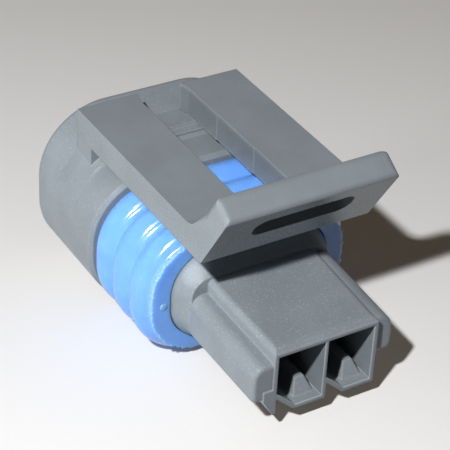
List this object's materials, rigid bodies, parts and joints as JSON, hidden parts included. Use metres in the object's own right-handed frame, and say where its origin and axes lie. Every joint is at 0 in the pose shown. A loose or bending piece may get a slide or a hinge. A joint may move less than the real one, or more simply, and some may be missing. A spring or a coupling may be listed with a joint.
{
  "type": "sealed automotive connector",
  "caption": "Sealed electrical plug housing with open terminal cavities, a ribbed seal round its nose, a cable seal at the wire end and a flexing latch frame with a slotted lip.",
  "frame": {"origin": "on the plate under the barrel, midway between the tip of the nose and the wire end", "axes": "+X across the part, -Y out of the mating nose, +Y out of the wire end, +Z towards the latch"},
  "size_m": [0.022, 0.0342, 0.0222],
  "materials": {
    "housing": "fine moulded grain",
    "latch": "fine moulded grain, smooth edges",
    "seal": "satin silicone"
  },
  "bodies": {
    "housing": {"housing": "housing", "interface_seal": "seal", "cable_seal": "seal"},
    "latch": {"latch_frame": "latch"}
  },
  "joints": [
    {"name": "latch_flex", "type": "hinge", "parent": "housing", "child": "latch", "pos_m": [0, 0.0134, 0.01475], "axis": [-1, 0, 0], "range_deg": [0, 6], "stiffness_Nm_per_rad": 2}
  ]
}
